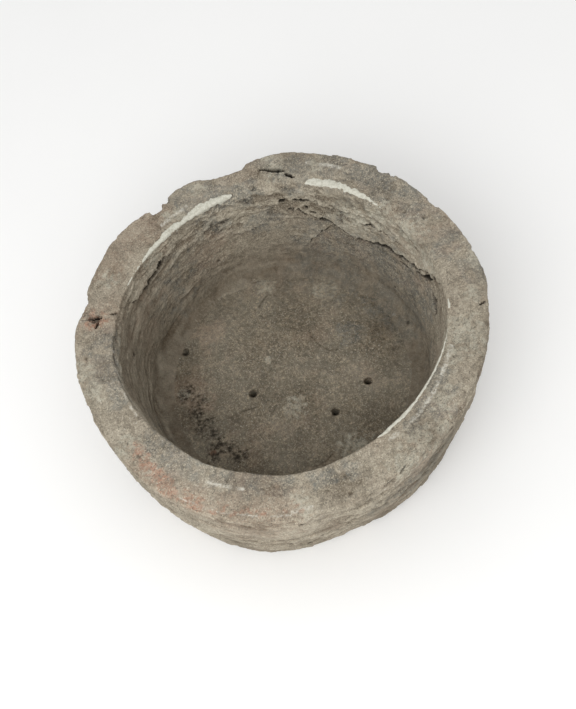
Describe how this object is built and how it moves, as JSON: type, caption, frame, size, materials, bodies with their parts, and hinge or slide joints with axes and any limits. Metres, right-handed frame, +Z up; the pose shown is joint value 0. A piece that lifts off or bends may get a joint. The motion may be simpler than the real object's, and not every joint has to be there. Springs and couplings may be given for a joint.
{
  "type": "mortar bowl",
  "caption": "Large shallow hand-built mortar bowl of coarse fired clay, with a thick flat-topped rim, a flat drained floor and lime repairs along the rim's inner edge.",
  "frame": {"origin": "centre of the flat underside, at the middle of the overall outline", "axes": "+Z up through the mouth, +Y towards the back of the rim with the crossing cracks, +X towards the right of the viewer who stands at the front"},
  "size_m": [0.5044, 0.5029, 0.188],
  "materials": {
    "wall_clay": "matt, coarse, wiped by hand and low-fired, with soot and grey-brown blotches",
    "slab_clay": "matt, coarse, worn darker by use, with soot specks and scratches",
    "lime": "matt, crumbly, off-white lime mortar"
  },
  "bodies": {
    "root": {"floor_slab": "slab_clay", "lower_wall_course": "wall_clay", "middle_wall_course": "wall_clay", "upper_wall_course": "wall_clay", "rim_coil_back_right": "wall_clay", "rim_coil_back_left": "wall_clay", "rim_coil_front": "wall_clay", "lime_fill_left": "lime", "lime_fill_back": "lime", "lime_fill_right_upper": "lime", "lime_fill_right": "lime"}
  },
  "joints": []
}
